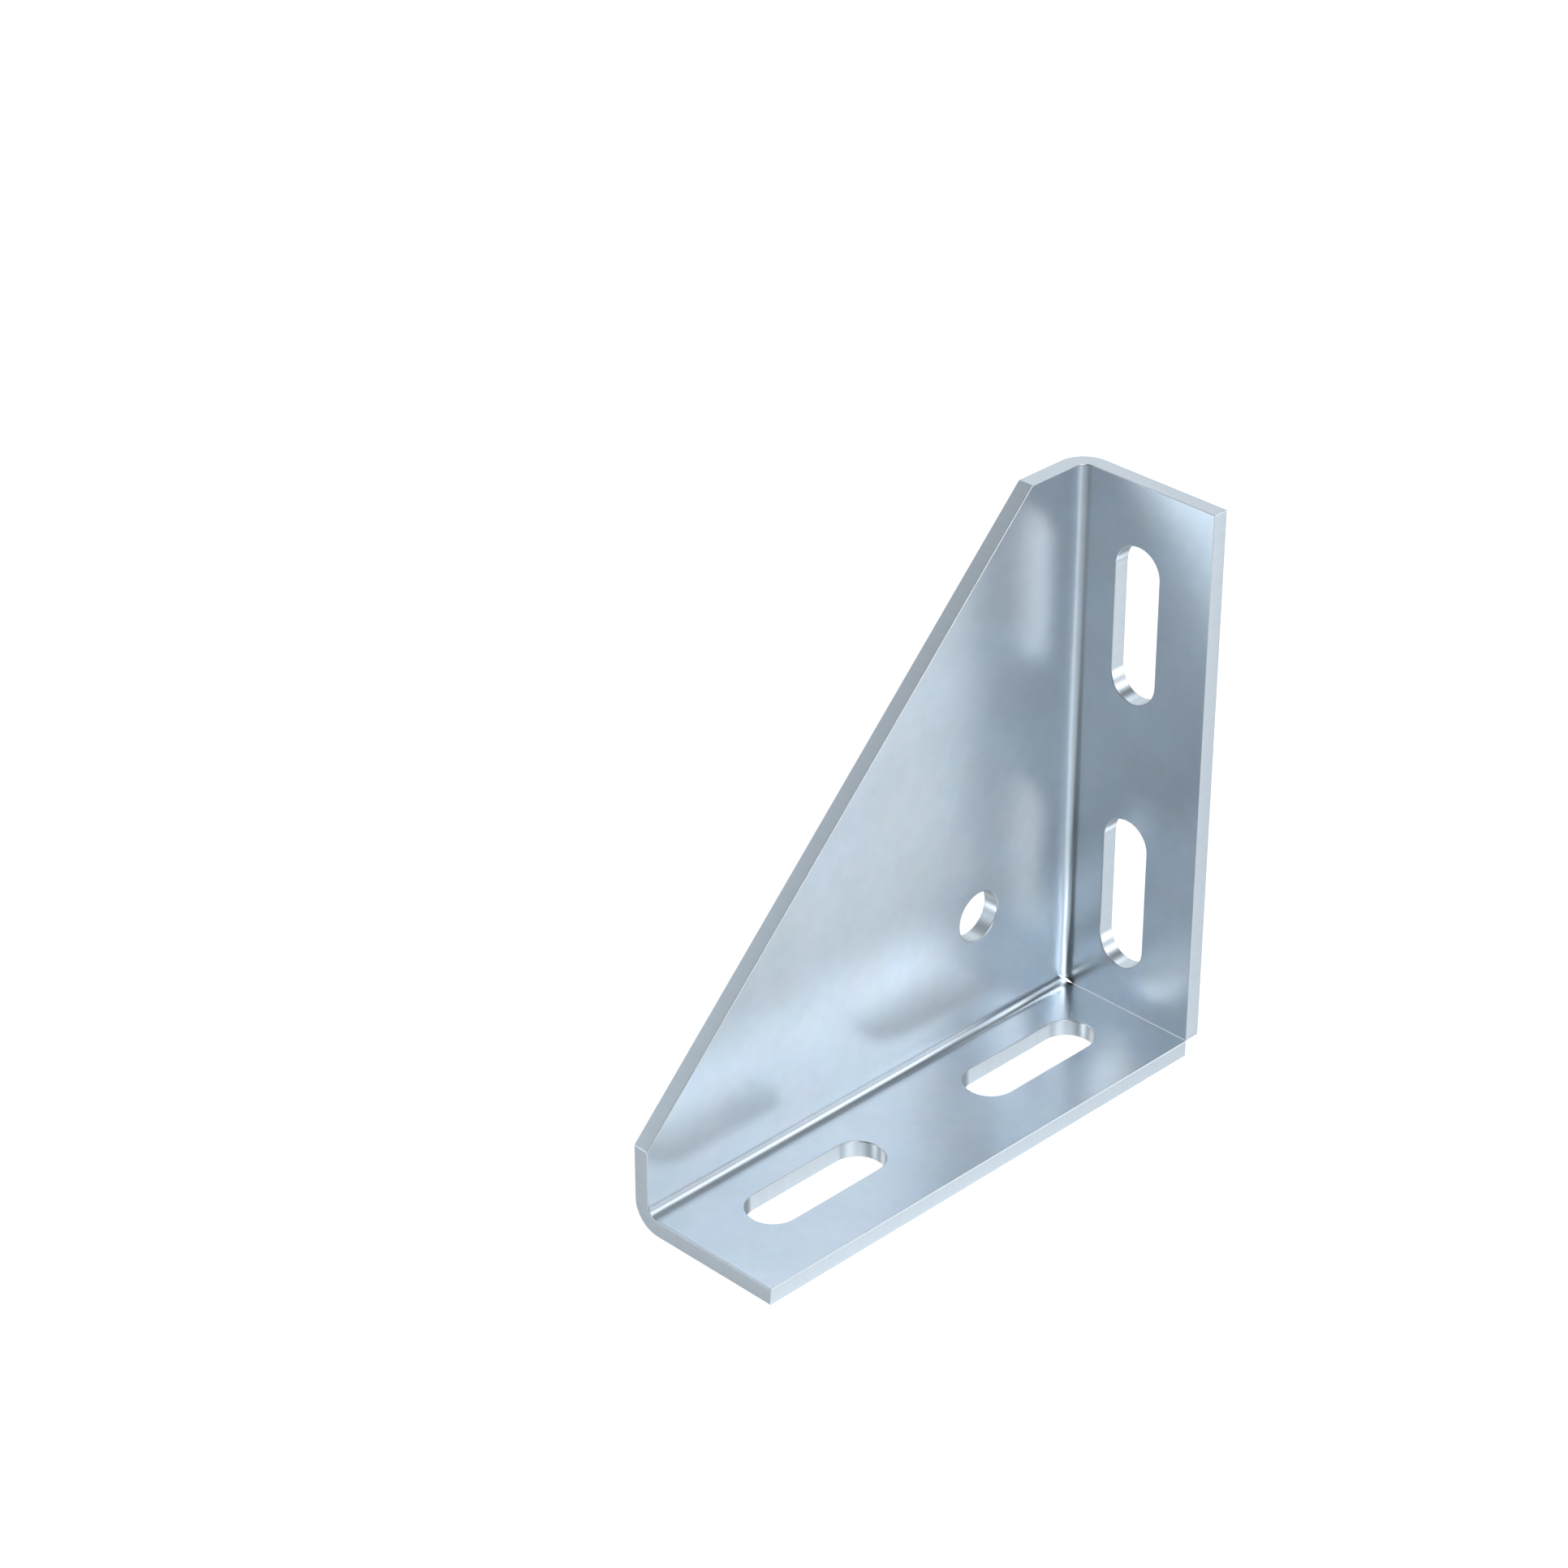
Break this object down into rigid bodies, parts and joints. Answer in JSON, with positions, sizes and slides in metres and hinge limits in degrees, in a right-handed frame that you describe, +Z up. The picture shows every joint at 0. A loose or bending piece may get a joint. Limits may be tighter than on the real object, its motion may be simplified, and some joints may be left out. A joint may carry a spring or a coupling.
{
  "type": "strut angle fitting",
  "caption": "Folded steel corner bracket with a bracing web between two slotted flanges, for joining two lengths of strut at a right angle.",
  "frame": {"origin": "middle of the underside of the bounding box, which is also the middle of the lying flange's slot pattern on its underside", "axes": "+X along the lying leg, from the heel to its tip; +Y from the web's outer face towards the free edges of the flanges; +Z up the standing leg"},
  "size_m": [0.1, 0.03, 0.1],
  "materials": {
    "zinc_plated_steel": "bright zinc plating on sheet steel, smooth, with a cool blue-grey sheen"
  },
  "bodies": {
    "root": {"angle_fitting": "zinc_plated_steel"}
  },
  "joints": []
}
